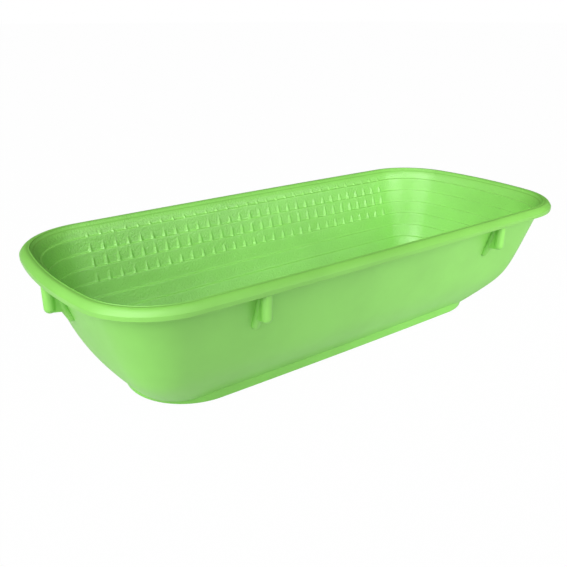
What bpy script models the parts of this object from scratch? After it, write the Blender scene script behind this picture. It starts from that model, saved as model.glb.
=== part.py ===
"""Rectangular riffled gold pan: a standalone Blender 4.5 script.

The pan is a single plastic moulding. Its features are separate objects here: the shell with its
stepped riffles and ribs, the rolled rim, the foot ring and six stacking lugs.

Frame: metres, +X along the length, +Y across the width, +Z up. The origin is on the surface that
the pan stands on, at the middle of the foot ring. Each outline is the rim's plan moved inwards by
an inset, so "inset" always means the horizontal distance in from the rim's outer edge.
"""

import math

import bmesh
import bpy
import numpy as np
from mathutils import Matrix, Vector

MM = 0.001

# Overall size.
PAN_LENGTH = 350 * MM
PAN_WIDTH = 159 * MM
PAN_HEIGHT = 80 * MM

# Plan outline: nearly straight sides, bowed ends, and round corners between them.
SIDE_RADIUS = 6200 * MM
END_RADIUS = 241 * MM
RIM_CORNER_RADIUS = 44.5 * MM
# Towards the base the corners open out again, to lead into the foot ring.
BASE_CORNER_RADIUS = 24 * MM
BASE_CORNER_SPREAD = 0.37
CORNER_BLEND = 4 * MM

# Outer wall: one cubic curve from under the rim to the base, as (inset, height).
WALL_TOP = (7.1 * MM, 74.5 * MM)
WALL_UPPER_HANDLE = (23.3 * MM, 27.2 * MM)
WALL_LOWER_HANDLE = (20.8 * MM, 28.5 * MM)
WALL_BASE = (42.6 * MM, 4.1 * MM)

# Inner wall: a staircase of shallow riffle ledges.
WALL_THICKNESS = 2.4 * MM
WALL_TOP_THICKNESS = 2.3 * MM
RIFFLE_COUNT = 8
TOP_RIFFLE_HEIGHT = 72.6 * MM
RIFFLE_PITCH = 8.9 * MM
RIFFLE_LEDGE = 1.2 * MM
FLOOR_HEIGHT = 6.6 * MM
FLOOR_FILLET = 2.5 * MM

# Ribs: small wedges standing on the upper ledges of both long walls, pointed at the top. A rib is wide
# at the wall and narrow along its ridge, reaches over its ledge by less than the ledge's width, and its
# root is buried in the wall.
RIB_COLUMNS = 30
RIB_PITCH = 8.5 * MM
RIB_ROOT_WIDTH = 5.0 * MM
RIB_RIDGE_WIDTH = 0.6 * MM
RIB_HEIGHTS = (1.8 * MM, 4.9 * MM, 6.8 * MM, 5.0 * MM)
RIB_ROOT = 0.8 * MM
RIB_REACH = 0.95 * MM

# Rolled rim: an inverted channel with a hanging flange, drawn as (inset, height).
LIP_LOWER_HANDLE = (8.6 * MM, 76.8 * MM)
LIP_UPPER_HANDLE = (6.7 * MM, 78.6 * MM)
RIM_CREASE = (5.4 * MM, 79.8 * MM)
RIM_CREST = (3.9 * MM, PAN_HEIGHT)
SHOULDER_UPPER_HANDLE = (2.2 * MM, PAN_HEIGHT)
SHOULDER_LOWER_HANDLE = (0.9 * MM, 78.3 * MM)
RIM_SHOULDER = (0, 76.8 * MM)
FLANGE_THICKNESS = 2.6 * MM
FLANGE_BOTTOM = 74.3 * MM
FLANGE_EDGE = 0.4 * MM
CHANNEL_ROOF = 77.7 * MM

# Foot ring: a low wall, nearly a stadium in plan.
FOOT_LENGTH = 264.6 * MM
FOOT_WIDTH = 76.4 * MM
FOOT_CORNER_RADIUS = 37.0 * MM
FOOT_THICKNESS = 2.4 * MM
FOOT_TALLEST = 7.0 * MM

# Stacking lugs: a round post under the rim, a web and a bead on the wall. The bead's lower part leans
# out from the wall, and its upper part carries on to the rim.
LUG_OFFSET = 91.4 * MM
POST_INSET = 3.6 * MM
POST_RADIUS = 2.8 * MM
POST_BOTTOM = 58.9 * MM
WEB_THICKNESS = 3.6 * MM
WEB_BOTTOM_AT_POST = 59.6 * MM
WEB_BOTTOM_AT_WALL = 58.0 * MM
BEAD_RADIUS = 2.3 * MM
BEAD_BOTTOM = 51.6 * MM
BEAD_KNEE = 60.5 * MM
BEAD_SINK = 0.5 * MM
BEAD_STAND_OUT = 1.2 * MM

# Clearance between neighbouring solids.
GAP = 0.3 * MM
WALL_GAP = 0.5 * MM

# Mesh fineness.
EDGE_ANGLE = math.radians(30)
WALL_SAMPLES = 200
END_STEPS = 3
CORNER_STEPS = 8
SIDE_STEPS = 5
WALL_STEPS = 10
ROUND_STEPS = 5
LUG_SEGMENTS = 16

PLASTIC_GREEN = (0.25, 0.66, 0.12, 1.0)


# ---------------------------------------------------------------- geometry helpers

def cubic(start, handle_a, handle_b, end, t):
    """Point at t on a cubic curve through (inset, height) control points."""
    weights = ((1 - t) ** 3, 3 * t * (1 - t) ** 2, 3 * t * t * (1 - t), t ** 3)
    points = (start, handle_a, handle_b, end)
    return tuple(sum(w * p[axis] for w, p in zip(weights, points)) for axis in (0, 1))


def wall_curve(steps):
    """Outer wall as a list of (inset, height), from the base up to the rim."""
    return [
        cubic(WALL_BASE, WALL_LOWER_HANDLE, WALL_UPPER_HANDLE, WALL_TOP, i / steps)
        for i in range(steps + 1)
    ]


FINE_WALL = np.array(wall_curve(WALL_SAMPLES))


def wall_inset(height):
    """Inset of the outer wall at a height."""
    return float(np.interp(height, FINE_WALL[:, 1], FINE_WALL[:, 0]))


def corner_radius(inset):
    """Corner radius of the outer surface: it shrinks with the inset, then opens towards the base."""
    shrinking = RIM_CORNER_RADIUS - inset
    opening = BASE_CORNER_RADIUS - BASE_CORNER_SPREAD * (WALL_BASE[0] - inset)
    return (shrinking + opening + math.hypot(shrinking - opening, CORNER_BLEND)) / 2


def plan_outline(half_length, half_width, end_radius, radius):
    """Closed plan outline: end arcs, side arcs and corner arcs tangent to both, counter-clockwise."""
    end_centre = Vector((half_length - end_radius, 0))
    side_centre = Vector((0, half_width - SIDE_RADIUS))
    to_side = side_centre - end_centre
    distance = to_side.length
    end_reach = end_radius - radius
    side_reach = SIDE_RADIUS - radius
    along = (distance ** 2 + end_reach ** 2 - side_reach ** 2) / (2 * distance)
    across = math.sqrt(max(end_reach ** 2 - along ** 2, 0))
    direction = to_side / distance
    corner_centre = end_centre + direction * along + Vector((-direction.y, direction.x)) * across
    end_angle = math.atan2(*(corner_centre - end_centre).yx)
    side_angle = math.atan2(*(corner_centre - side_centre).yx)

    arcs = (
        (end_centre, end_radius, 0, end_angle, END_STEPS),
        (corner_centre, radius, end_angle, side_angle, CORNER_STEPS),
        (side_centre, SIDE_RADIUS, side_angle, math.pi / 2, SIDE_STEPS),
    )
    quarter = []
    for centre, arc_radius, start, stop, steps in arcs:
        for i in range(steps):
            angle = start + (stop - start) * i / steps
            quarter.append(centre + arc_radius * Vector((math.cos(angle), math.sin(angle))))
    quarter.append(Vector((0, half_width)))

    upper = quarter + [Vector((-p.x, p.y)) for p in reversed(quarter[:-1])]
    lower = [Vector((p.x, -p.y)) for p in reversed(upper[1:-1])]
    return upper + lower


def pan_ring(inset, height, extra=0.0):
    """Outline of the pan's outer surface at an inset, moved in by a further distance."""
    total = inset + extra
    outline = plan_outline(
        PAN_LENGTH / 2 - total,
        PAN_WIDTH / 2 - total,
        END_RADIUS - total,
        corner_radius(inset) - extra,
    )
    return [Vector((p.x, p.y, height)) for p in outline]


def foot_ring_outline(extra, height):
    """Outline of the foot ring's outer face, moved in by a distance."""
    outline = plan_outline(
        FOOT_LENGTH / 2 - extra,
        FOOT_WIDTH / 2 - extra,
        END_RADIUS - extra,
        FOOT_CORNER_RADIUS - extra,
    )
    return [Vector((p.x, p.y, height)) for p in outline]


def loft(bm, rings, closed):
    """Join rings with faces. A closed loft is a tube; an open one has a cap at each end."""
    loops = [[bm.verts.new(point) for point in ring] for ring in rings]
    pairs = list(zip(loops, loops[1:]))
    if closed:
        pairs.append((loops[-1], loops[0]))
    else:
        bm.faces.new(loops[0])
        bm.faces.new(loops[-1])
    for lower, upper in pairs:
        for i in range(len(lower)):
            j = (i + 1) % len(lower)
            bm.faces.new((lower[i], lower[j], upper[j], upper[i]))
    bmesh.ops.recalc_face_normals(bm, faces=bm.faces)


# ---------------------------------------------------------------- object helpers

def clear_scene():
    for existing in list(bpy.data.objects):
        bpy.data.objects.remove(existing, do_unlink=True)


def plastic(name, roughness):
    """Green polypropylene."""
    material = bpy.data.materials.new(name)
    material.use_nodes = True
    shader = material.node_tree.nodes["Principled BSDF"]
    shader.inputs["Base Color"].default_value = PLASTIC_GREEN
    shader.inputs["Roughness"].default_value = roughness
    shader.inputs["Metallic"].default_value = 0.0
    return material


def add_object(name, bm, roughness=0.4):
    """Turn a bmesh into a named object with its own material, smooth except at its edges."""
    mesh = bpy.data.meshes.new(name)
    bm.to_mesh(mesh)
    bm.free()
    mesh.shade_smooth()
    mesh.set_sharp_from_angle(angle=EDGE_ANGLE)
    mesh.materials.append(plastic(name + "_plastic", roughness))
    made = bpy.data.objects.new(name, mesh)
    bpy.context.scene.collection.objects.link(made)
    return made


def hide_as_tool(made):
    """Mark an object as a cutter or a joining shape, which isn't part of the pan."""
    made.hide_render = True
    made.display_type = 'WIRE'


def add_boolean(target, tool, operation):
    modifier = target.modifiers.new(tool.name, 'BOOLEAN')
    modifier.operation = operation
    modifier.solver = 'EXACT'
    modifier.object = tool


# ---------------------------------------------------------------- sub-parts

def riffle_profile():
    """Inner wall as (outer inset, height, distance in from the outer wall), top to floor."""
    profile = [(WALL_TOP[0], WALL_TOP[1], WALL_TOP_THICKNESS)]
    for k in range(RIFFLE_COUNT):
        height = TOP_RIFFLE_HEIGHT - k * RIFFLE_PITCH
        inset = wall_inset(height)
        profile.append((inset, height, WALL_THICKNESS))
        profile.append((inset, height, WALL_THICKNESS + RIFFLE_LEDGE))
    fillet_height = FLOOR_HEIGHT + FLOOR_FILLET / 2
    profile.append((wall_inset(fillet_height), fillet_height, WALL_THICKNESS + FLOOR_FILLET / 2))
    profile.append((wall_inset(FLOOR_HEIGHT), FLOOR_HEIGHT, WALL_THICKNESS + FLOOR_FILLET))
    return profile


def add_rib(bm, x, row, side):
    """One wedge on a long wall: its foot stands on the ledge below it, its tip dies into the wall."""
    ledge_height = TOP_RIFFLE_HEIGHT - row * RIFFLE_PITCH
    tip_height = ledge_height + RIB_HEIGHTS[row]
    sagitta = SIDE_RADIUS - math.sqrt(SIDE_RADIUS ** 2 - x ** 2)
    wall_line = PAN_WIDTH / 2 - sagitta

    def at(height, extra):
        return side * (wall_line - wall_inset(height) - extra)

    foot_height = ledge_height - RIB_ROOT
    front = at(ledge_height, WALL_THICKNESS + RIB_REACH)
    back = at(foot_height, WALL_THICKNESS - RIB_ROOT)
    tip = at(tip_height, WALL_THICKNESS)
    half_root = RIB_ROOT_WIDTH / 2
    half_ridge = RIB_RIDGE_WIDTH / 2
    corners = [
        (x - half_root, back, foot_height),
        (x + half_root, back, foot_height),
        (x - half_ridge, front, foot_height),
        (x + half_ridge, front, foot_height),
        (x - half_ridge, front, ledge_height),
        (x + half_ridge, front, ledge_height),
        (x, tip - side * RIB_ROOT / 2, tip_height),
        (x, tip + side * RIB_ROOT, tip_height),
    ]
    verts = [bm.verts.new(corner) for corner in corners]
    bmesh.ops.convex_hull(bm, input=verts)


def make_ribs():
    """All ribs of both long walls, as one joining shape."""
    bm = bmesh.new()
    first = -(RIB_COLUMNS - 1) / 2 * RIB_PITCH
    for side in (-1, 1):
        for row in range(len(RIB_HEIGHTS)):
            for column in range(RIB_COLUMNS):
                add_rib(bm, first + column * RIB_PITCH, row, side)
    bmesh.ops.recalc_face_normals(bm, faces=bm.faces)
    ribs = add_object("rib_shapes", bm)
    hide_as_tool(ribs)
    return ribs


def make_shell():
    """Walls, floor and riffles: up the outer wall, over its top and down the inner staircase."""
    rings = [pan_ring(inset, height) for inset, height in wall_curve(WALL_STEPS)]
    rings += [pan_ring(inset, height, extra) for inset, height, extra in riffle_profile()]
    bm = bmesh.new()
    loft(bm, rings, closed=False)
    shell = add_object("pan_shell", bm)
    add_boolean(shell, make_ribs(), 'UNION')
    return shell


def rim_profile():
    """Section of the rolled rim, clockwise from the top of the wall's inner face."""
    foot = WALL_TOP[1] + GAP
    lip_start = (WALL_TOP[0] + WALL_TOP_THICKNESS, foot)
    profile = [
        cubic(lip_start, LIP_LOWER_HANDLE, LIP_UPPER_HANDLE, RIM_CREASE, i / ROUND_STEPS)
        for i in range(ROUND_STEPS + 1)
    ]
    profile += [
        cubic(RIM_CREST, SHOULDER_UPPER_HANDLE, SHOULDER_LOWER_HANDLE, RIM_SHOULDER, i / ROUND_STEPS)
        for i in range(ROUND_STEPS + 1)
    ]
    profile += [
        (0, FLANGE_BOTTOM + FLANGE_EDGE),
        (FLANGE_EDGE, FLANGE_BOTTOM),
        (FLANGE_THICKNESS - FLANGE_EDGE, FLANGE_BOTTOM),
        (FLANGE_THICKNESS, FLANGE_BOTTOM + FLANGE_EDGE),
        (FLANGE_THICKNESS, CHANNEL_ROOF),
        (WALL_TOP[0], CHANNEL_ROOF),
        (WALL_TOP[0], foot),
    ]
    return profile


def make_rim():
    bm = bmesh.new()
    loft(bm, [pan_ring(inset, height) for inset, height in rim_profile()], closed=True)
    return add_object("rolled_rim", bm, roughness=0.3)


def make_clearance():
    """Cutter: the space of the shell and the rim, grown by the gap that neighbours keep."""
    rings = [pan_ring(inset, height - GAP, -WALL_GAP) for inset, height in wall_curve(WALL_STEPS)]
    under_rim = FLANGE_BOTTOM - GAP
    top = [ring for ring in rings if ring[0].z < under_rim]
    top.append(pan_ring(wall_inset(under_rim), under_rim, -WALL_GAP))
    top.append(pan_ring(0, under_rim, -FLANGE_THICKNESS))
    top.append(pan_ring(0, PAN_HEIGHT, -FLANGE_THICKNESS))
    bm = bmesh.new()
    loft(bm, top, closed=False)
    clearance = add_object("clearance", bm)
    hide_as_tool(clearance)
    return clearance


def make_foot_ring(clearance):
    """Low wall under the base. Its top follows the shell's underside."""
    profile = [(0, 0), (0, FOOT_TALLEST), (FOOT_THICKNESS, FOOT_TALLEST), (FOOT_THICKNESS, 0)]
    bm = bmesh.new()
    loft(bm, [foot_ring_outline(extra, height) for extra, height in profile], closed=True)
    ring = add_object("foot_ring", bm)
    add_boolean(ring, clearance, 'DIFFERENCE')
    return ring


def lug_frame(x, y, outward):
    """Matrix whose local X runs inwards from the rim's edge and whose local Z is up."""
    inwards = -Vector(outward)
    across = Vector((0, 0, 1)).cross(inwards)
    matrix = Matrix((inwards, across, (0, 0, 1))).transposed().to_4x4()
    matrix.translation = (x, y, 0)
    return matrix


def add_capsule(bm, bottom, top, radius):
    """Round bar from bottom to top, given as (inset, height), with a ball at its bottom."""
    low = Vector((bottom[0], 0, bottom[1]))
    axis = Vector((top[0], 0, top[1])) - low
    turn = Vector((0, 0, 1)).rotation_difference(axis).to_matrix()
    rings = []
    for i in range(1, ROUND_STEPS + 1):
        angle = math.pi / 2 * (1 - i / ROUND_STEPS)
        rings.append((radius * math.cos(angle), -radius * math.sin(angle)))
    rings.append((radius, axis.length))
    loops = []
    for ring_radius, along in rings:
        loop = []
        for j in range(LUG_SEGMENTS):
            around = 2 * math.pi * j / LUG_SEGMENTS
            local = Vector((ring_radius * math.cos(around), ring_radius * math.sin(around), along))
            loop.append(low + turn @ local)
        loops.append(loop)
    loft(bm, loops, closed=False)


def add_web(bm):
    """Thin plate between the post and the bead."""
    outline = [
        (POST_INSET, FLANGE_BOTTOM + GAP),
        (POST_INSET, WEB_BOTTOM_AT_POST),
        (wall_inset(WEB_BOTTOM_AT_WALL) + BEAD_SINK, WEB_BOTTOM_AT_WALL),
        (wall_inset(FLANGE_BOTTOM) + BEAD_SINK, FLANGE_BOTTOM + GAP),
    ]
    half = WEB_THICKNESS / 2
    loft(bm, [[Vector((u, v, z)) for u, z in outline] for v in (-half, half)], closed=False)


def make_lug(name, x, y, outward, clearance):
    """One stacking lug, trimmed to keep its gap from the wall and the rim."""
    place = lug_frame(x, y, outward)
    bead_low = BEAD_BOTTOM + BEAD_RADIUS
    bead_foot = (wall_inset(bead_low) + BEAD_SINK, bead_low)
    bead_knee = (wall_inset(BEAD_KNEE) - BEAD_STAND_OUT, BEAD_KNEE)
    bead_top = (wall_inset(FLANGE_BOTTOM) - BEAD_STAND_OUT, FLANGE_BOTTOM + 2 * GAP)

    def build_post(bm):
        add_capsule(
            bm,
            (POST_INSET, POST_BOTTOM + POST_RADIUS),
            (POST_INSET, FLANGE_BOTTOM + GAP),
            POST_RADIUS,
        )

    def build_lower_bead(bm):
        add_capsule(bm, bead_foot, bead_knee, BEAD_RADIUS)

    def build_upper_bead(bm):
        add_capsule(bm, bead_knee, bead_top, BEAD_RADIUS)

    shapes = []
    builders = (
        ("", build_post),
        ("_web", add_web),
        ("_lower_bead", build_lower_bead),
        ("_upper_bead", build_upper_bead),
    )
    for suffix, build in builders:
        bm = bmesh.new()
        build(bm)
        bm.transform(place)
        shapes.append(add_object(name + suffix, bm))
    lug = shapes[0]
    for tool in shapes[1:]:
        hide_as_tool(tool)
        add_boolean(lug, tool, 'UNION')
    add_boolean(lug, clearance, 'DIFFERENCE')
    return lug


def make_lugs(clearance):
    """Two lugs on each long side and one at the middle of each end."""
    slope = LUG_OFFSET / SIDE_RADIUS
    side_y = PAN_WIDTH / 2 - SIDE_RADIUS * (1 - math.sqrt(1 - slope ** 2))
    for side_name, y_sign in (("front", -1), ("back", 1)):
        for end_name, x_sign in (("left", -1), ("right", 1)):
            name = f"stacking_lug_{side_name}_{end_name}"
            outward = (x_sign * slope, y_sign * math.sqrt(1 - slope ** 2), 0)
            make_lug(name, x_sign * LUG_OFFSET, y_sign * side_y, outward, clearance)
    for end_name, x_sign in (("left", -1), ("right", 1)):
        name = f"stacking_lug_{end_name}_end"
        make_lug(name, x_sign * PAN_LENGTH / 2, 0, (x_sign, 0, 0), clearance)


def main():
    clear_scene()
    make_shell()
    make_rim()
    clearance = make_clearance()
    make_foot_ring(clearance)
    make_lugs(clearance)


main()
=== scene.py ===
"""Looks of the riffled gold pan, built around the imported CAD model.

Every visible piece is a fine mesh that stands for one CAD node. The pan is one plastic moulding, so
the pieces meet along its natural lines: the crease of the rim, the foot's top and the lugs' roots.

Units are metres. An outline is the rim's plan moved inwards by an inset, so "inset" always means the
horizontal distance in from the rim's outer edge, and a profile is a list of (inset, height).
"""

import math

import bmesh
import bpy
import numpy as np
from mathutils import Matrix, Vector


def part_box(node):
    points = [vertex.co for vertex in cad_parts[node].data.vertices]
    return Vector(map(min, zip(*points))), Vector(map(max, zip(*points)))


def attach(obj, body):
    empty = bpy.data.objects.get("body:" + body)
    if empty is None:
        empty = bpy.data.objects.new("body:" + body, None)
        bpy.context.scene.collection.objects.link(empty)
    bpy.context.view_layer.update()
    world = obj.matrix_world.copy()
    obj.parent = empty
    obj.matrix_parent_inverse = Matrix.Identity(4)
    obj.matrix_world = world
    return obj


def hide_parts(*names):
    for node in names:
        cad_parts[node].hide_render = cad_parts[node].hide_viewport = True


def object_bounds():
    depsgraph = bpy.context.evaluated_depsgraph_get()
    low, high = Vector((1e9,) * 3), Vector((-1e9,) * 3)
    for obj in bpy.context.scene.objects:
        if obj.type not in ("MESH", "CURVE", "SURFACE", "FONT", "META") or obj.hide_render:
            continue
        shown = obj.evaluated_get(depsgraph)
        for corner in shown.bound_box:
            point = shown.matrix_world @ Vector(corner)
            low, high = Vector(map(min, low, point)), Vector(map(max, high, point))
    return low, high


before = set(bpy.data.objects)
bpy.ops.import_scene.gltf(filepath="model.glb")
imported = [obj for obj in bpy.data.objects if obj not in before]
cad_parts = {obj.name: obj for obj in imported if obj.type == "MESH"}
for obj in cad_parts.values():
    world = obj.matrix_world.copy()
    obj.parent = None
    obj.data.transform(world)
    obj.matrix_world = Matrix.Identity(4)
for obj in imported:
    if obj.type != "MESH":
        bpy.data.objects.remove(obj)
cad_low, cad_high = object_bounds()

MM = 0.001

# ---------------------------------------------------------------- sizes that come from the frame

PAN_LENGTH = cad_high[0] - cad_low[0]
PAN_WIDTH = cad_high[1] - cad_low[1]
PAN_HEIGHT = cad_high[2]
SHELL_LOW, SHELL_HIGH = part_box("pan_shell")
RIM_LOW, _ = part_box("rolled_rim")
_, FOOT_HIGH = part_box("foot_ring")

# ---------------------------------------------------------------- shape of the moulding

# How far a hidden end reaches into its neighbour.
OVERLAP = 0.2 * MM

# Plan outline: nearly flat side arcs, bowed ends and round corners.
SIDE_RADIUS = 6200 * MM
END_RADIUS = 241 * MM
RIM_CORNER_RADIUS = 44.5 * MM
BASE_CORNER_RADIUS = 24 * MM
# A corner's radius is the larger of two, blended over a length: the rim's, which shrinks by all of the
# way in, and the base's, which shrinks by this share of the way out.
BASE_CORNER_SPREAD = 0.37
CORNER_BLEND = 4 * MM

# Outer wall: one cubic curve from the base up to the rim. Its inset at a height is looked up on a finer
# run of the same curve. The rings under the base lie in from the base's edge.
WALL_BASE = (42.6 * MM, SHELL_LOW[2])
WALL_LOWER_HANDLE = (20.8 * MM, 28.5 * MM)
WALL_UPPER_HANDLE = (23.3 * MM, 27.2 * MM)
WALL_TOP = (7.1 * MM, SHELL_HIGH[2])
WALL_STEPS = 36
FINE_WALL_STEPS = 400
BASE_RING_INSETS = (18 * MM, 12 * MM, 6 * MM, 2 * MM, 0.6 * MM)

# Inner wall: shallow riffle ledges, one below the other. Its rings are no further apart than a band, and
# the rings of the floor lie in from the wall.
WALL_THICKNESS = 2.4 * MM
WALL_TOP_THICKNESS = 2.3 * MM
RIFFLE_COUNT = 8
TOP_RIFFLE_HEIGHT = 72.6 * MM
RIFFLE_PITCH = 8.9 * MM
RIFFLE_LEDGE = 1.2 * MM
LEDGE_DROP = 0.15 * MM
LEDGE_HOLLOW_RADIUS = 0.2 * MM
LEDGE_EDGE_RADIUS = 0.45 * MM
FLOOR_HEIGHT = 6.6 * MM
FLOOR_FILLET = 2.5 * MM
FLOOR_RING_INSETS = (8 * MM, 14 * MM, 20 * MM)
INNER_BAND = 0.9 * MM

# Ribs: thin wedges on the upper ledges of both long walls, pointed at the top. Each row of them has its
# own height and foot. A rib's depth falls away to its sides by the power of its roundness, and its depth
# and width fall away to its tip by the power of its taper. No rib stands out past its ledge's edge, and
# places that are nearer to that edge than the clearance stay as they are.
RIB_COLUMNS = 30
RIB_PITCH = 8.5 * MM
RIB_HEIGHTS = (1.8 * MM, 4.9 * MM, 6.8 * MM, 5.0 * MM)
RIB_DEPTH = 1.2 * MM
RIB_TIP_HALF_WIDTH = 0.45 * MM
RIB_FOOT_HALF_WIDTHS = (0.9 * MM, 1.8 * MM, 1.9 * MM, 1.7 * MM)
RIB_ROUNDNESS = 1.15
RIB_TAPER = 0.75
RIB_CLEARANCE = 0.01 * MM

# Points along half of a side: the same few on both flanks of every rib, and none from a margin beyond
# the last rib to the corner. A side without ribs has evenly spaced points.
RIB_FLANK_OFFSETS = (0.55 * MM, 1.1 * MM, 1.55 * MM, 1.95 * MM, 2.3 * MM)
RIB_FIELD_MARGIN = 3.4 * MM
PLAIN_SIDE_POINTS = 40

# Rim: a lip that carries on from the inner wall, a fine raised parting line along the crease, a
# rounded shoulder and a flat-faced flange below it. The lip's top lies a hair under the crease, and the
# rim's surface starts at the crease's root, inside the lip.
LIP_LOWER_HANDLE = (8.6 * MM, 76.8 * MM)
LIP_UPPER_HANDLE = (6.7 * MM, 78.6 * MM)
CREASE = (5.4 * MM, 79.8 * MM)
CREASE_RISE = 0.2 * MM
CREASE_HALF_WIDTH = 0.25 * MM
CREASE_ROOT = 0.6 * MM
LIP_STEPS = 12
LIP_DROP = 0.05 * MM
CREST = (3.9 * MM, PAN_HEIGHT)
SHOULDER_UPPER_HANDLE = (2.2 * MM, PAN_HEIGHT)
SHOULDER_LOWER_HANDLE = (0.9 * MM, 78.3 * MM)
SHOULDER = (0, 76.8 * MM)
SHOULDER_EDGE_RADIUS = 0.35 * MM
SHOULDER_STEPS = 16
FLANGE_THICKNESS = 2.6 * MM
FLANGE_EDGE_RADIUS = 0.5 * MM
CHANNEL_ROOF = 77.7 * MM
CHANNEL_FILLET = 0.9 * MM
CHANNEL_ROOT = 0.5 * MM

# Stacking lugs, in their own frame: inset, sideways, height. A lug's root ends inside the wall and,
# above the wall, leans outwards with the lip.
POST_INSET = 3.6 * MM
POST_RADIUS = 2.8 * MM
POST_BOTTOM = 58.9 * MM
WEB_THICKNESS = 3.6 * MM
WEB_BOTTOM_AT_POST = 59.6 * MM
WEB_BOTTOM_AT_WALL = 58.0 * MM
BEAD_RADIUS = 2.3 * MM
BEAD_BOTTOM = 51.6 * MM
BEAD_KNEE = 60.5 * MM
BEAD_STAND_OUT = 1.2 * MM
LUG_TOP = CHANNEL_ROOF + OVERLAP
LUG_ROOT = 1.2 * MM
LIP_LEAN = 0.5
LUG_SOFTENING = 0.2 * MM
LUG_VOXEL = 0.3 * MM

# Foot ring.
FOOT_CORNER_RADIUS = 37.0 * MM
FOOT_THICKNESS = 2.4 * MM
FOOT_TOP = 5.9 * MM
FOOT_TAPER = 0.15 * MM
FOOT_EDGE_RADIUS = 0.6 * MM

# ---------------------------------------------------------------- looks

# The rim is the same plastic, but its green is painted a little deeper: painted shade, which evens out the
# strong light that falls on it.
PLASTIC_GREEN = (0.26, 0.66, 0.117)
RIM_GREEN_WITH_PAINTED_SHADE = (0.228, 0.575, 0.1)
COLOUR_MOTTLE = 0.04
GLOSS_SCUFF = 0.04

# Studio floor: grey with a white glow of its own. The wash is the share of plain white in what the
# camera sees of it.
FLOOR_GREY = (0.45, 0.45, 0.45)
FLOOR_GLOW = 0.33
FLOOR_WASH = 0.985
FLOOR_SIZE = 40.0
FLOOR_GAP = 0.05 * MM

# Soft boxes: name, the point that it faces, azimuth and elevation in degrees, distance and size in
# metres, spread in degrees, power in watts.
PAN_MIDDLE = Vector((0, 0, 0.04))
NEAR_RIGHT = Vector((0.15, -0.05, 0.04))
SOFT_BOXES = (
    ("key", PAN_MIDDLE, -70, 38, 1.2, 1.0, 180, 12.8),
    ("front", PAN_MIDDLE, -40, 30, 1.2, 1.0, 180, 1.3),
    ("high_front", PAN_MIDDLE, -10, 50, 1.2, 1.0, 180, 4.3),
    ("low_left", PAN_MIDDLE, -90, 16, 1.2, 0.5, 180, 2.0),
    ("back_left", PAN_MIDDLE, -120, 40, 1.2, 1.0, 180, 1.3),
    ("near_right", NEAR_RIGHT, 20, 25, 0.5, 0.25, 60, 0.10),
    ("near_front", NEAR_RIGHT, 0, 20, 0.5, 0.25, 60, 0.16),
)

CAMERA_TARGET = Vector((-0.0249, -0.0007, 0.0397))
CAMERA_AZIMUTH = -37.08
CAMERA_ELEVATION = 21.79
CAMERA_DISTANCE = 0.4256
CAMERA_LENS_MM = 42.5
CAMERA_SENSOR_MM = 36.0


# ---------------------------------------------------------------- curve helpers

def cubic(start, handle_a, handle_b, end, t):
    """Point at t on a cubic curve through (inset, height) control points."""
    weights = ((1 - t) ** 3, 3 * t * (1 - t) ** 2, 3 * t * t * (1 - t), t ** 3)
    points = (start, handle_a, handle_b, end)
    return tuple(sum(w * p[axis] for w, p in zip(weights, points)) for axis in (0, 1))


def cubic_run(start, handle_a, handle_b, end, steps):
    """Points along a cubic curve, from its start to its end."""
    return [cubic(start, handle_a, handle_b, end, i / steps) for i in range(steps + 1)]


def rounded(points, reaches, steps=3, largest_share=0.45):
    """Polyline with a curve in place of each inner corner.

    A curve reaches along both straights by its own reach, but by no more than a share of a straight.
    """
    result = [points[0]]
    for before, corner, after, wanted in zip(points, points[1:], points[2:], reaches):
        corner = Vector(corner)
        back = Vector(before) - corner
        ahead = Vector(after) - corner
        reach = min(wanted, back.length * largest_share, ahead.length * largest_share)
        start = corner + back.normalized() * reach
        stop = corner + ahead.normalized() * reach
        for i in range(steps + 1):
            t = i / steps
            result.append(tuple(start * (1 - t) ** 2 + corner * (2 * t * (1 - t)) + stop * t ** 2))
    result.append(points[-1])
    return result


def wall_run(steps):
    """Points up the outer wall, from the base to the rim."""
    return cubic_run(WALL_BASE, WALL_LOWER_HANDLE, WALL_UPPER_HANDLE, WALL_TOP, steps)


FINE_WALL = np.array(wall_run(FINE_WALL_STEPS))


def wall_inset(height):
    """Inset of the outer wall at a height."""
    return float(np.interp(height, FINE_WALL[:, 1], FINE_WALL[:, 0]))


def corner_radius(inset):
    """Corner radius of the outer surface: it shrinks with the inset, then opens towards the base."""
    shrinking = RIM_CORNER_RADIUS - inset
    opening = BASE_CORNER_RADIUS - BASE_CORNER_SPREAD * (WALL_BASE[0] - inset)
    return (shrinking + opening + math.hypot(shrinking - opening, CORNER_BLEND)) / 2


# ---------------------------------------------------------------- plan outlines

def side_places(rib_columns):
    """Places along half of a side, from the corner to the middle, as shares of a reach.

    The reach and each place's offset from its rib are given too. With rib columns the places are dense
    across each rib, so that its flanks are crisp. Without them no place has a rib.
    """
    if not rib_columns:
        return np.linspace(1, 0, PLAIN_SIDE_POINTS), math.inf, [None] * PLAIN_SIDE_POINTS
    left_flank = [-offset for offset in reversed(RIB_FLANK_OFFSETS)]
    across = [*left_flank, 0.0, *RIB_FLANK_OFFSETS]
    first = (RIB_COLUMNS - 1) / 2 * RIB_PITCH
    reach = first + RIB_FIELD_MARGIN
    places = [(reach, None)]
    for column in range(RIB_COLUMNS // 2):
        centre = first - column * RIB_PITCH
        places += [(centre - offset, offset) for offset in across]
        places.append((centre - RIB_PITCH / 2, None))
    places[-1] = (0.0, None)
    shares = np.array([x / reach for x, _ in places])
    offsets = [offset for _, offset in places]
    return shares, reach, offsets


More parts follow.
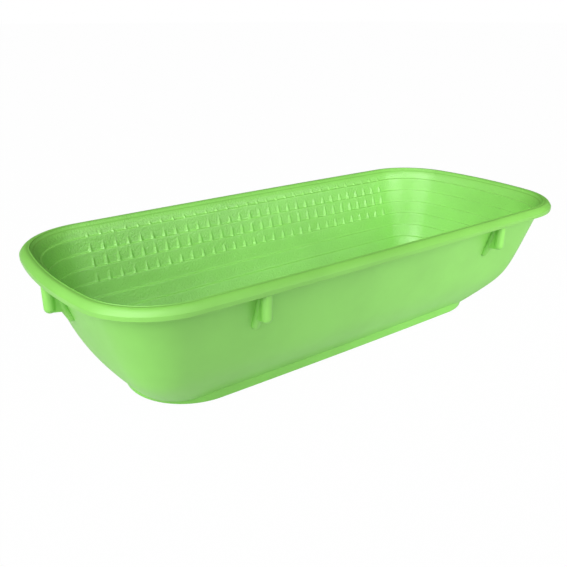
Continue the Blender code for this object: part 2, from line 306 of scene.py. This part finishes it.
class Plan:
    """A family of plan outlines whose points correspond, so that outlines can be joined with faces."""

    def __init__(self, end_steps, corner_steps, rib_columns=False):
        self.end = np.linspace(0, 1, end_steps, endpoint=False)
        self.corner = np.linspace(0, 1, corner_steps, endpoint=False)
        self.side, self.side_reach, side_offsets = side_places(rib_columns)
        quarter = [None] * (len(self.end) + len(self.corner)) + side_offsets
        self.rib_offsets = self.spread(quarter)

    @staticmethod
    def spread(quarter):
        """Values of one quarter, carried round the whole outline by symmetry."""
        upper = quarter + quarter[-2::-1]
        return upper + upper[-2:0:-1]

    def outline(self, half_length, half_width, end_radius, radius):
        """Closed outline as an array of (x, y), counter-clockwise from +X.

        A quarter is an end arc, a corner arc and a side arc. The corner arc touches the other two from
        the inside, so its centre lies on a circle round each of their centres.
        """
        end_centre = np.array((half_length - end_radius, 0.0))
        side_centre = np.array((0.0, half_width - SIDE_RADIUS))
        to_side = side_centre - end_centre
        distance = np.linalg.norm(to_side)
        end_reach = end_radius - radius
        side_reach = SIDE_RADIUS - radius
        along = (distance ** 2 + end_reach ** 2 - side_reach ** 2) / (2 * distance)
        across = math.sqrt(max(end_reach ** 2 - along ** 2, 0))
        forward = to_side / distance
        sideways = np.array((-forward[1], forward[0]))
        corner_centre = end_centre + forward * along + sideways * across
        end_angle = math.atan2(corner_centre[1] - end_centre[1], corner_centre[0] - end_centre[0])
        side_angle = math.atan2(corner_centre[1] - side_centre[1], corner_centre[0] - side_centre[0])

        def arc(centre, arc_radius, angles):
            return centre + arc_radius * np.stack([np.cos(angles), np.sin(angles)], axis=1)

        side_half = SIDE_RADIUS * math.cos(side_angle)
        side_x = self.side * min(side_half, self.side_reach)
        side_x[0] = side_half
        side_angles = np.arccos(side_x / SIDE_RADIUS)
        quarter = np.vstack([
            arc(end_centre, end_radius, end_angle * self.end),
            arc(corner_centre, radius, end_angle + (side_angle - end_angle) * self.corner),
            arc(side_centre, SIDE_RADIUS, side_angles),
        ])
        upper = np.vstack([quarter, quarter[-2::-1] * (-1, 1)])
        return np.vstack([upper, upper[-2:0:-1] * (1, -1)])

    def pan(self, inset, extra=0.0):
        """Outline of the pan's outer surface at an inset, moved in by a further distance."""
        total = inset + extra
        return self.outline(
            PAN_LENGTH / 2 - total, PAN_WIDTH / 2 - total, END_RADIUS - total, corner_radius(inset) - extra
        )

    def foot(self, extra):
        """Outline of the foot ring's outer face, moved in by a distance."""
        return self.outline(
            FOOT_HIGH[0] - extra, FOOT_HIGH[1] - extra, END_RADIUS - extra, FOOT_CORNER_RADIUS - extra
        )


def raise_ring(outline, height):
    """Outline as an array of (x, y, z), all at one height."""
    return np.column_stack([outline, np.full(len(outline), height)])


# ---------------------------------------------------------------- mesh helpers

def loft(rings, closed):
    """Mesh arrays joining rings. A closed loft is a tube; an open one has a cap at each end."""
    count = len(rings[0])
    verts = np.vstack(rings)
    faces = []
    last = len(rings) if closed else len(rings) - 1
    for r in range(last):
        a = r * count
        b = ((r + 1) % len(rings)) * count
        for i in range(count):
            j = (i + 1) % count
            faces.append((a + i, a + j, b + j, b + i))
    if not closed:
        faces.append(tuple(range(count)))
        faces.append(tuple(range((len(rings) - 1) * count, len(rings) * count)))
    return verts, faces


def make_piece(name, verts, faces, node, material, crease_angle=40):
    """Object from mesh arrays, riding on the body in place of its CAD node."""
    mesh = bpy.data.meshes.new(name)
    mesh.from_pydata([tuple(v) for v in verts], [], faces)
    bm = bmesh.new()
    bm.from_mesh(mesh)
    bmesh.ops.recalc_face_normals(bm, faces=bm.faces)
    bm.to_mesh(mesh)
    bm.free()
    piece = bpy.data.objects.new(name, mesh)
    bpy.context.scene.collection.objects.link(piece)
    return finish_piece(piece, node, material, crease_angle)


def finish_piece(piece, node, material, crease_angle):
    """Smooth shading with sharp edges, the material, and the piece's place in the frame."""
    piece.data.shade_smooth()
    piece.data.set_sharp_from_angle(angle=math.radians(crease_angle))
    piece.data.materials.clear()
    piece.data.materials.append(material)
    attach(piece, "root")
    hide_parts(node)
    return piece


# ---------------------------------------------------------------- materials

class Nodes:
    """Short names for building a node tree."""

    def __init__(self, owner):
        self.tree = owner.node_tree

    def add(self, kind, **inputs):
        node = self.tree.nodes.new(kind)
        for key, value in inputs.items():
            node.inputs[key.replace("_", " ")].default_value = value
        return node

    def link(self, source, output, target, entry):
        self.tree.links.new(source.outputs[output], target.inputs[entry])


def plastic(name, grain_size, grain_depth, roughness, shine, colour=PLASTIC_GREEN):
    """Moulded green polypropylene with a tool grain, a faint flow mottle and soft scuffs."""
    material = bpy.data.materials.new(name)
    material.use_nodes = True
    nodes = Nodes(material)
    shader = nodes.tree.nodes["Principled BSDF"]
    place = nodes.add("ShaderNodeTexCoord")

    mottle = nodes.add("ShaderNodeTexNoise", Scale=28.0, Detail=3.0, Roughness=0.5)
    nodes.link(place, "Object", mottle, "Vector")
    tint = nodes.add("ShaderNodeValToRGB")
    darker = tuple(c * (1 - COLOUR_MOTTLE) for c in colour)
    lighter = tuple(min(c * (1 + COLOUR_MOTTLE), 1.0) for c in colour)
    tint.color_ramp.elements[0].position = 0.35
    tint.color_ramp.elements[1].position = 0.65
    tint.color_ramp.elements[0].color = (*darker, 1)
    tint.color_ramp.elements[1].color = (*lighter, 1)
    nodes.link(mottle, "Fac", tint, "Fac")
    nodes.link(tint, "Color", shader, "Base Color")

    scuff = nodes.add("ShaderNodeTexNoise", Scale=160.0, Detail=4.0, Roughness=0.6)
    nodes.link(place, "Object", scuff, "Vector")
    gloss = nodes.add("ShaderNodeMapRange")
    gloss.inputs["To Min"].default_value = roughness - GLOSS_SCUFF
    gloss.inputs["To Max"].default_value = roughness + GLOSS_SCUFF
    nodes.link(scuff, "Fac", gloss, "Value")
    nodes.link(gloss, "Result", shader, "Roughness")

    grain = nodes.add("ShaderNodeTexNoise", Scale=1 / grain_size, Detail=2.0, Roughness=0.55)
    nodes.link(place, "Object", grain, "Vector")
    bump = nodes.add("ShaderNodeBump", Strength=1.0, Distance=grain_depth)
    nodes.link(grain, "Fac", bump, "Height")
    nodes.link(bump, "Normal", shader, "Normal")

    shader.inputs["IOR"].default_value = 1.49
    shader.inputs["Specular IOR Level"].default_value = shine
    return material


# ---------------------------------------------------------------- pan shell

def riffle_profile():
    """Inner staircase as (distance in from the outer wall, height), from the top down to the floor."""
    points = [(WALL_TOP_THICKNESS, WALL_TOP[1])]
    reaches = []
    for k in range(RIFFLE_COUNT):
        height = TOP_RIFFLE_HEIGHT - k * RIFFLE_PITCH
        points.append((WALL_THICKNESS, height))
        reaches.append(LEDGE_HOLLOW_RADIUS)
        points.append((WALL_THICKNESS + RIFFLE_LEDGE, height - LEDGE_DROP))
        reaches.append(LEDGE_EDGE_RADIUS)
    points.append((WALL_THICKNESS + FLOOR_FILLET / 3, FLOOR_HEIGHT + FLOOR_FILLET / 3))
    reaches.append(0)
    points.append((WALL_THICKNESS + FLOOR_FILLET, FLOOR_HEIGHT))
    return rounded(points, reaches)


def with_band_rows(profile, longest):
    """Profile with extra points, so that no stretch is longer than a length."""
    result = [profile[0]]
    for before, after in zip(profile, profile[1:]):
        parts = max(1, math.ceil(math.dist(before, after) / longest))
        for i in range(1, parts + 1):
            t = i / parts
            result.append(tuple(a + (b - a) * t for a, b in zip(before, after)))
    return result


def rib_row_at(height):
    """Row of ribs that a height belongs to and the height above its ledge, or None."""
    for row in range(len(RIB_HEIGHTS)):
        above = height - (TOP_RIFFLE_HEIGHT - row * RIFFLE_PITCH)
        if -LEDGE_DROP <= above <= RIB_HEIGHTS[row]:
            return row, max(above, 0.0)
    return None


def rib_bulge(height, extra, rib_offsets):
    """How far the inner wall stands out at each point of a ring, because of the ribs."""
    bulge = np.zeros(len(rib_offsets))
    found = rib_row_at(height)
    room = WALL_THICKNESS + RIFFLE_LEDGE - extra
    if found is None or room < RIB_CLEARANCE:
        return bulge
    row, above = found
    share = (1 - above / RIB_HEIGHTS[row]) ** RIB_TAPER
    depth = RIB_DEPTH * share
    half_width = RIB_TIP_HALF_WIDTH + (RIB_FOOT_HALF_WIDTHS[row] - RIB_TIP_HALF_WIDTH) * share
    for i, offset in enumerate(rib_offsets):
        if offset is not None:
            bulge[i] = depth * max(0.0, 1 - (abs(offset) / half_width) ** RIB_ROUNDNESS)
    return np.minimum(bulge, room)


def make_shell(inside, outside):
    """Walls, floor and riffles: from under the base, up the outside, over the lip and down inside."""
    plan = Plan(end_steps=14, corner_steps=30, rib_columns=True)
    base_inset, base_height = WALL_BASE
    rings = [raise_ring(plan.pan(base_inset, extra), base_height) for extra in BASE_RING_INSETS]
    for inset, height in wall_run(WALL_STEPS):
        rings.append(raise_ring(plan.pan(inset), height))
    rings.append(raise_ring(plan.pan(WALL_TOP[0]), CHANNEL_ROOF + OVERLAP))
    outside_faces = len(rings) * len(rings[0])
    lip_top = (CREASE[0], CREASE[1] - LIP_DROP)
    lip_bottom = (WALL_TOP[0] + WALL_TOP_THICKNESS, WALL_TOP[1])
    for inset, height in cubic_run(lip_top, LIP_UPPER_HANDLE, LIP_LOWER_HANDLE, lip_bottom, LIP_STEPS):
        rings.append(raise_ring(plan.pan(inset), height))
    inner = with_band_rows(riffle_profile(), INNER_BAND)
    for extra, height in inner[1:]:
        outline = plan.pan(wall_inset(height), extra)
        bulge = rib_bulge(height, extra, plan.rib_offsets)
        outline[:, 1] -= np.sign(outline[:, 1]) * bulge
        rings.append(raise_ring(outline, height))
    floor_inset = wall_inset(FLOOR_HEIGHT)
    for extra in FLOOR_RING_INSETS:
        rings.append(raise_ring(plan.pan(floor_inset, extra), FLOOR_HEIGHT))
    verts, faces = loft(rings, closed=False)
    shell = make_piece("pan_shell_moulding", verts, faces, "pan_shell", inside)
    shell.data.materials.append(outside)
    # The loft's last two faces are its caps: the underside and the floor.
    underside = len(faces) - 2
    for polygon in shell.data.polygons:
        if polygon.index < outside_faces or polygon.index == underside:
            polygon.material_index = 1
    return shell


# ---------------------------------------------------------------- rim

def make_rim(material):
    """Rolled rim: from the crease over the round edge, under the flange and into the wall."""
    plan = Plan(end_steps=14, corner_steps=30)
    crease_inset, crease_height = CREASE
    ridge = [
        (crease_inset + 2 * CREASE_HALF_WIDTH, crease_height - CREASE_ROOT),
        (crease_inset + CREASE_HALF_WIDTH, crease_height),
        (crease_inset + CREASE_HALF_WIDTH / 2, crease_height + CREASE_RISE),
        (crease_inset - CREASE_HALF_WIDTH / 2, crease_height + CREASE_RISE),
        (crease_inset - CREASE_HALF_WIDTH, crease_height),
    ]
    crest_to_shoulder = cubic_run(
        CREST, SHOULDER_UPPER_HANDLE, SHOULDER_LOWER_HANDLE, SHOULDER, SHOULDER_STEPS
    )
    top = crest_to_shoulder[:-1]
    under = rounded(
        [
            top[-1],
            SHOULDER,
            (0, RIM_LOW[2]),
            (FLANGE_THICKNESS, RIM_LOW[2]),
            (FLANGE_THICKNESS, CHANNEL_ROOF),
            (WALL_TOP[0] + CHANNEL_ROOT, CHANNEL_ROOF),
        ],
        (SHOULDER_EDGE_RADIUS, FLANGE_EDGE_RADIUS, FLANGE_EDGE_RADIUS, CHANNEL_FILLET),
        steps=6,
    )
    profile = ridge + top + under[1:]
    rings = [raise_ring(plan.pan(inset), height) for inset, height in profile]
    verts, faces = loft(rings, closed=True)
    return make_piece("rim_moulding", verts, faces, "rolled_rim", material)


# ---------------------------------------------------------------- foot ring

def make_foot(material):
    """Low wall under the base, with eased edges. Its top is buried in the shell."""
    plan = Plan(end_steps=6, corner_steps=40)
    corners = [
        (FOOT_TAPER, FOOT_TOP),
        (0.0, 0.0),
        (FOOT_THICKNESS, 0.0),
        (FOOT_THICKNESS - FOOT_TAPER, FOOT_TOP),
    ]
    profile = rounded(corners, (FOOT_EDGE_RADIUS, FOOT_EDGE_RADIUS), steps=5)
    rings = [raise_ring(plan.foot(extra), height) for extra, height in profile]
    verts, faces = loft(rings, closed=True)
    return make_piece("foot_ring_moulding", verts, faces, "foot_ring", material)


# ---------------------------------------------------------------- stacking lugs

def capsule(bottom, top, radius, segments=28, dome_steps=8):
    """Round bar from bottom to top, given as (inset, height), with a ball at its bottom."""
    low = Vector((bottom[0], 0, bottom[1]))
    axis = Vector((top[0], 0, top[1])) - low
    turn = Vector((0, 0, 1)).rotation_difference(axis).to_matrix()
    angles = [2 * math.pi * j / segments for j in range(segments)]
    circle = [(math.cos(angle), math.sin(angle)) for angle in angles]
    dome = [math.pi / 2 * (1 - i / dome_steps) for i in range(1, dome_steps + 1)]
    sections = [(radius * math.cos(angle), -radius * math.sin(angle)) for angle in dome]
    sections.append((radius, axis.length))
    rings = []
    for reach, along in sections:
        rings.append(np.array([low + turn @ Vector((reach * x, reach * y, along)) for x, y in circle]))
    return loft(rings, closed=False)


def web(top):
    """Thin plate between the post and the bead."""
    outline = [
        (POST_INSET, top),
        (POST_INSET, WEB_BOTTOM_AT_POST - LUG_SOFTENING),
        (wall_inset(WEB_BOTTOM_AT_WALL) + LUG_ROOT, WEB_BOTTOM_AT_WALL - LUG_SOFTENING),
        (WALL_TOP[0] + LUG_ROOT, top),
    ]
    half = WEB_THICKNESS / 2 + LUG_SOFTENING
    return loft([np.array([(u, v, z) for u, z in outline]) for v in (-half, half)], closed=False)


def lug_reach(height):
    """How far in a lug may reach at a height, to end inside the wall or, above it, inside the lip."""
    above_wall = max(0.0, height - WALL_TOP[1])
    return wall_inset(height) + LUG_ROOT - above_wall * LIP_LEAN


def lug_parts():
    """Post, web and two-part bead of one lug, each as verts and faces.

    Fusing them takes a little off all round, so they are made larger by that much.
    """
    post_radius = POST_RADIUS + LUG_SOFTENING
    bead_radius = BEAD_RADIUS + LUG_SOFTENING
    bead_low = BEAD_BOTTOM + BEAD_RADIUS
    bead_foot = (wall_inset(bead_low), bead_low)
    bead_knee = (wall_inset(BEAD_KNEE) - BEAD_STAND_OUT, BEAD_KNEE)
    bead_top = (WALL_TOP[0] - BEAD_STAND_OUT, LUG_TOP)
    return [
        capsule((POST_INSET, POST_BOTTOM + POST_RADIUS), (POST_INSET, LUG_TOP), post_radius),
        web(LUG_TOP),
        capsule(bead_foot, bead_knee, bead_radius),
        capsule(bead_knee, bead_top, bead_radius),
    ]


def fuse(parts):
    """One mesh from closed parts, by a voxel remesh and a light smoothing of the inner corners."""
    bm = bmesh.new()
    for verts, faces in parts:
        made = [bm.verts.new(v) for v in verts]
        new_faces = [bm.faces.new([made[i] for i in face]) for face in faces]
        bmesh.ops.recalc_face_normals(bm, faces=new_faces)
    rough = bpy.data.meshes.new("lug_rough")
    bm.to_mesh(rough)
    bm.free()
    holder = bpy.data.objects.new("lug_rough", rough)
    bpy.context.scene.collection.objects.link(holder)
    remesh = holder.modifiers.new("fuse", 'REMESH')
    remesh.mode = 'VOXEL'
    remesh.voxel_size = LUG_VOXEL
    smooth = holder.modifiers.new("soften", 'SMOOTH')
    smooth.factor = 0.5
    smooth.iterations = 4
    evaluated = holder.evaluated_get(bpy.context.evaluated_depsgraph_get())
    fused = bpy.data.meshes.new_from_object(evaluated)
    bpy.data.objects.remove(holder, do_unlink=True)
    return fused


def lug_mesh():
    """One lug in its own frame: local X runs inwards from the rim's edge and local Z is up."""
    mesh = fuse(lug_parts())
    for vertex in mesh.vertices:
        vertex.co.x = min(vertex.co.x, lug_reach(vertex.co.z))
    return mesh


def lug_place(node):
    """Matrix of a lug's frame, from where its CAD node lies on the rim."""
    low, high = (Vector(corner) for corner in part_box(node))
    middle = (low + high) / 2
    in_middle_of_end = abs(middle.y) < 1 * MM
    if in_middle_of_end:
        outward = Vector((math.copysign(1, middle.x), 0, 0))
        edge = Vector((math.copysign(PAN_LENGTH / 2, middle.x), 0, 0))
    else:
        lean = middle.x / SIDE_RADIUS
        upright = math.sqrt(1 - lean ** 2)
        outward = Vector((lean, math.copysign(upright, middle.y), 0))
        edge_y = PAN_WIDTH / 2 - SIDE_RADIUS * (1 - upright)
        edge = Vector((middle.x, math.copysign(edge_y, middle.y), 0))
    inwards = -outward
    across = Vector((0, 0, 1)).cross(inwards)
    matrix = Matrix((inwards, across, (0, 0, 1))).transposed().to_4x4()
    matrix.translation = edge
    return matrix


def make_lugs(material):
    """Copies of one lug, each where its CAD node lies."""
    pattern = lug_mesh()
    for node in sorted(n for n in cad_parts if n.startswith("stacking_lug")):
        mesh = pattern.copy()
        mesh.transform(lug_place(node))
        piece = bpy.data.objects.new(node.replace("stacking_", "") + "_moulding", mesh)
        bpy.context.scene.collection.objects.link(piece)
        finish_piece(piece, node, material, crease_angle=60)
    bpy.data.meshes.remove(pattern)


# ---------------------------------------------------------------- stage, light and camera

def direction(azimuth, elevation):
    """Unit vector towards a viewpoint: azimuth 0 is -Y and 90 is +X, both in degrees."""
    turn = math.radians(azimuth)
    rise = math.radians(elevation)
    return Vector((math.sin(turn) * math.cos(rise), -math.cos(turn) * math.cos(rise), math.sin(rise)))


def make_floor():
    """Wide pale floor. The camera sees it nearly as bright as the studio's white background."""
    material = bpy.data.materials.new("studio_floor")
    material.use_nodes = True
    nodes = Nodes(material)
    shader = nodes.tree.nodes["Principled BSDF"]
    shader.inputs["Base Color"].default_value = (*FLOOR_GREY, 1)
    shader.inputs["Emission Color"].default_value = (1, 1, 1, 1)
    shader.inputs["Emission Strength"].default_value = FLOOR_GLOW
    shader.inputs["Roughness"].default_value = 0.8
    shader.inputs["Specular IOR Level"].default_value = 0.2
    output = nodes.tree.nodes["Material Output"]
    white = nodes.add("ShaderNodeEmission", Strength=1.0)
    path = nodes.add("ShaderNodeLightPath")
    share = nodes.add("ShaderNodeMath")
    share.operation = 'MULTIPLY'
    share.inputs[1].default_value = FLOOR_WASH
    mix = nodes.add("ShaderNodeMixShader")
    nodes.link(path, "Is Camera Ray", share, 0)
    nodes.link(share, "Value", mix, "Fac")
    nodes.link(shader, "BSDF", mix, 1)
    nodes.link(white, "Emission", mix, 2)
    nodes.link(mix, "Shader", output, "Surface")
    bpy.ops.mesh.primitive_plane_add(size=FLOOR_SIZE, location=(0, 0, cad_low[2] - FLOOR_GAP))
    floor = bpy.context.object
    floor.name = "studio_floor"
    floor.data.materials.append(material)


def make_world():
    """White background that only the camera sees: it throws no light on the pan."""
    world = bpy.data.worlds.new("studio")
    bpy.context.scene.world = world
    world.use_nodes = True
    nodes = Nodes(world)
    background = nodes.tree.nodes["Background"]
    background.inputs["Color"].default_value = (1, 1, 1, 1)
    path = nodes.add("ShaderNodeLightPath")
    nodes.link(path, "Is Camera Ray", background, "Strength")


def make_lights():
    """Soft boxes round the pan, each of them facing a point on it."""
    for name, target, azimuth, elevation, distance, size, spread, power in SOFT_BOXES:
        light = bpy.data.lights.new(name, 'AREA')
        light.shape = 'SQUARE'
        light.size = size
        light.spread = math.radians(spread)
        light.energy = power
        holder = bpy.data.objects.new(name, light)
        bpy.context.scene.collection.objects.link(holder)
        back = direction(azimuth, elevation)
        holder.location = target + back * distance
        holder.rotation_euler = back.to_track_quat('Z', 'Y').to_euler()


def make_camera():
    """Camera that sees the pan as the photo does."""
    data = bpy.data.cameras.new("camera")
    data.lens = CAMERA_LENS_MM
    data.sensor_width = CAMERA_SENSOR_MM
    camera = bpy.data.objects.new("camera", data)
    bpy.context.scene.collection.objects.link(camera)
    back = direction(CAMERA_AZIMUTH, CAMERA_ELEVATION)
    camera.location = CAMERA_TARGET + back * CAMERA_DISTANCE
    camera.rotation_euler = back.to_track_quat('Z', 'Y').to_euler()
    bpy.context.scene.camera = camera
    bpy.context.scene.view_settings.view_transform = 'Standard'


make_camera()
make_world()
make_lights()
make_floor()

inside_plastic = plastic(
    "grained_green_plastic", grain_size=1.2 * MM, grain_depth=0.4 * MM, roughness=0.36, shine=1.0
)
smooth_plastic = plastic(
    "smooth_green_plastic", grain_size=0.6 * MM, grain_depth=0.01 * MM, roughness=0.40, shine=0.5
)
# The rim's deeper green is painted shade over the pan's one plastic colour.
rim_painted_shade_plastic = plastic(
    "rim_green_plastic",
    grain_size=0.6 * MM,
    grain_depth=0.01 * MM,
    roughness=0.36,
    shine=0.5,
    colour=RIM_GREEN_WITH_PAINTED_SHADE,
)
make_shell(inside_plastic, smooth_plastic)
make_rim(rim_painted_shade_plastic)
make_foot(smooth_plastic)
make_lugs(smooth_plastic)
